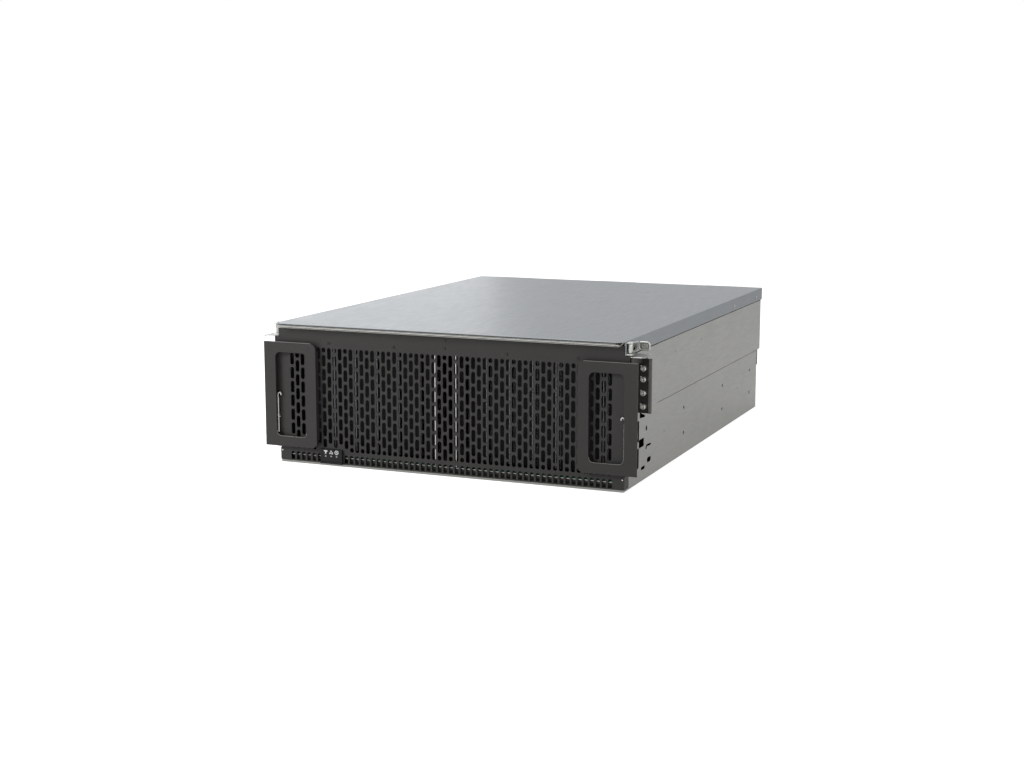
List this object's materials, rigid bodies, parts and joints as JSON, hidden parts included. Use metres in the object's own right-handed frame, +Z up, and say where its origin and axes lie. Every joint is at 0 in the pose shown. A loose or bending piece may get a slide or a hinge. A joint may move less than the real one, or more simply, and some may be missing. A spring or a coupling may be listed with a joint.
{
  "type": "disk shelf enclosure",
  "caption": "Top-loading rack disk shelf with a perforated front, side handles, hinged cover, pull-out fans, power supplies and input-output modules.",
  "frame": {"origin": "middle of the bounding box at the underside of the floor", "axes": "+X to the right seen from the front, +Y from the front to the back, +Z up"},
  "size_m": [0.492, 0.6394, 0.174],
  "materials": {
    "black_paint": "matt black powder coat",
    "plated_steel": "pre-plated satin sheet steel",
    "cover_steel": "pre-plated satin sheet steel, pale",
    "bright_steel": "bright nickel-plated steel",
    "black_plastic": "moulded, fine grain",
    "carrier_plastic": "moulded, satin",
    "board": "solder-masked laminate",
    "drive_case": "cast and machined",
    "light_pipe": "frosted clear",
    "blue_plastic": "moulded touch point"
  },
  "bodies": {
    "chassis": {"base_tray": "plated_steel", "side_panel_left": "plated_steel", "side_panel_right": "plated_steel", "front_side_plates": "plated_steel", "front_panel": "black_paint", "panel_screws": "bright_steel", "handle_left": "black_paint", "handle_right": "black_paint", "rack_ears": "black_paint", "rack_screws": "bright_steel", "catch_brackets": "bright_steel", "status_panel": "black_plastic", "status_light_pipes": "light_pipe", "front_cross_rail": "bright_steel", "side_rivets": "plated_steel", "chassis_hinge_leaves": "plated_steel", "hinge_pins": "bright_steel", "drives_front_rows": "drive_case", "drives_rear_rows": "drive_case", "carriers_front_rows": "carrier_plastic", "carriers_rear_rows": "carrier_plastic", "baseplanes": "board", "baseplane_standoffs": "bright_steel", "plenum_walls": "plated_steel", "row_dividers": "plated_steel", "board_connectors": "black_plastic", "fan_bulkhead": "plated_steel", "module_shelf": "plated_steel", "bay_walls": "plated_steel", "rear_frame": "plated_steel", "module_backplane": "board", "rear_header": "plated_steel"},
    "cover": {"top_cover": "cover_steel", "cover_stiffener": "bright_steel", "cover_screws": "bright_steel", "cover_hinge_leaves": "plated_steel", "latch_mounts": "bright_steel", "latch_pins": "bright_steel"},
    "latch_left": {"cover_latch_left": "bright_steel"},
    "trigger_left": {"rail_trigger_left": "bright_steel"},
    "psu_left": {"psu_left_case": "plated_steel", "psu_left_inlet": "black_plastic"},
    "psu_bail_left": {"psu_left_bail": "bright_steel"},
    "io_module_left": {"io_left_case": "plated_steel"},
    "io_lever_left": {"io_left_lever": "blue_plastic"},
    "latch_right": {"cover_latch_right": "bright_steel"},
    "trigger_right": {"rail_trigger_right": "bright_steel"},
    "psu_right": {"psu_right_case": "plated_steel", "psu_right_inlet": "black_plastic"},
    "psu_bail_right": {"psu_right_bail": "bright_steel"},
    "io_module_right": {"io_right_case": "plated_steel"},
    "io_lever_right": {"io_right_lever": "blue_plastic"},
    "fan_module_1": {"fan_housing_1": "black_plastic"},
    "fan_rotor_1": {"fan_rotor_1": "carrier_plastic"},
    "fan_module_2": {"fan_housing_2": "black_plastic"},
    "fan_rotor_2": {"fan_rotor_2": "carrier_plastic"},
    "fan_module_3": {"fan_housing_3": "black_plastic"},
    "fan_rotor_3": {"fan_rotor_3": "carrier_plastic"},
    "fan_module_4": {"fan_housing_4": "black_plastic"},
    "fan_rotor_4": {"fan_rotor_4": "carrier_plastic"}
  },
  "joints": [
    {"name": "cover_hinge", "type": "hinge", "parent": "chassis", "child": "cover", "pos_m": [0, 0.3119, 0.1712], "axis": [-1, 0, 0], "range_deg": [0, 80]},
    {"name": "latch_left_turn", "type": "hinge", "parent": "cover", "child": "latch_left", "pos_m": [-0.2282, -0.3043, 0.1655], "axis": [0, 0, 1], "range_deg": [0, 35], "stiffness_Nm_per_rad": 0.05},
    {"name": "trigger_left_press", "type": "slide", "parent": "chassis", "child": "trigger_left", "axis": [1, 0, 0], "range_m": [0, 0.0014], "stiffness_N_per_m": 400},
    {"name": "latch_right_turn", "type": "hinge", "parent": "cover", "child": "latch_right", "pos_m": [0.2282, -0.3043, 0.1655], "axis": [0, 0, -1], "range_deg": [0, 35], "stiffness_Nm_per_rad": 0.05},
    {"name": "trigger_right_press", "type": "slide", "parent": "chassis", "child": "trigger_right", "axis": [-1, 0, 0], "range_m": [0, 0.0014], "stiffness_N_per_m": 400},
    {"name": "fan_1_slide", "type": "slide", "parent": "chassis", "child": "fan_module_1", "axis": [0, 1, 0], "range_m": [0, 0.07]},
    {"name": "fan_1_spin", "type": "hinge", "parent": "fan_module_1", "child": "fan_rotor_1", "pos_m": [-0.16583, 0.2907, 0.1125], "axis": [0, 1, 0], "continuous": true},
    {"name": "fan_2_slide", "type": "slide", "parent": "chassis", "child": "fan_module_2", "axis": [0, 1, 0], "range_m": [0, 0.07]},
    {"name": "fan_2_spin", "type": "hinge", "parent": "fan_module_2", "child": "fan_rotor_2", "pos_m": [-0.05527, 0.2907, 0.1125], "axis": [0, 1, 0], "continuous": true},
    {"name": "fan_3_slide", "type": "slide", "parent": "chassis", "child": "fan_module_3", "axis": [0, 1, 0], "range_m": [0, 0.07]},
    {"name": "fan_3_spin", "type": "hinge", "parent": "fan_module_3", "child": "fan_rotor_3", "pos_m": [0.05527, 0.2907, 0.1125], "axis": [0, 1, 0], "continuous": true},
    {"name": "fan_4_slide", "type": "slide", "parent": "chassis", "child": "fan_module_4", "axis": [0, 1, 0], "range_m": [0, 0.07]},
    {"name": "fan_4_spin", "type": "hinge", "parent": "fan_module_4", "child": "fan_rotor_4", "pos_m": [0.16583, 0.2907, 0.1125], "axis": [0, 1, 0], "continuous": true},
    {"name": "psu_left_slide", "type": "slide", "parent": "chassis", "child": "psu_left", "axis": [0, 1, 0], "range_m": [0, 0.14]},
    {"name": "psu_left_bail_swing", "type": "hinge", "parent": "psu_left", "child": "psu_bail_left", "pos_m": [-0.172, 0.298, 0.008], "axis": [-1, 0, 0], "range_deg": [0, 90]},
    {"name": "io_left_slide", "type": "slide", "parent": "chassis", "child": "io_module_left", "axis": [0, 1, 0], "range_m": [0, 0.14]},
    {"name": "io_left_lever_swing", "type": "hinge", "parent": "io_module_left", "child": "io_lever_left", "pos_m": [-0.0895, 0.298, 0.0125], "axis": [0, 0, 1], "range_deg": [0, 70]},
    {"name": "psu_right_slide", "type": "slide", "parent": "chassis", "child": "psu_right", "axis": [0, 1, 0], "range_m": [0, 0.14]},
    {"name": "psu_right_bail_swing", "type": "hinge", "parent": "psu_right", "child": "psu_bail_right", "pos_m": [0.172, 0.298, 0.008], "axis": [-1, 0, 0], "range_deg": [0, 90]},
    {"name": "io_right_slide", "type": "slide", "parent": "chassis", "child": "io_module_right", "axis": [0, 1, 0], "range_m": [0, 0.14]},
    {"name": "io_right_lever_swing", "type": "hinge", "parent": "io_module_right", "child": "io_lever_right", "pos_m": [0.0375, 0.298, 0.0125], "axis": [0, 0, 1], "range_deg": [0, 70]}
  ]
}
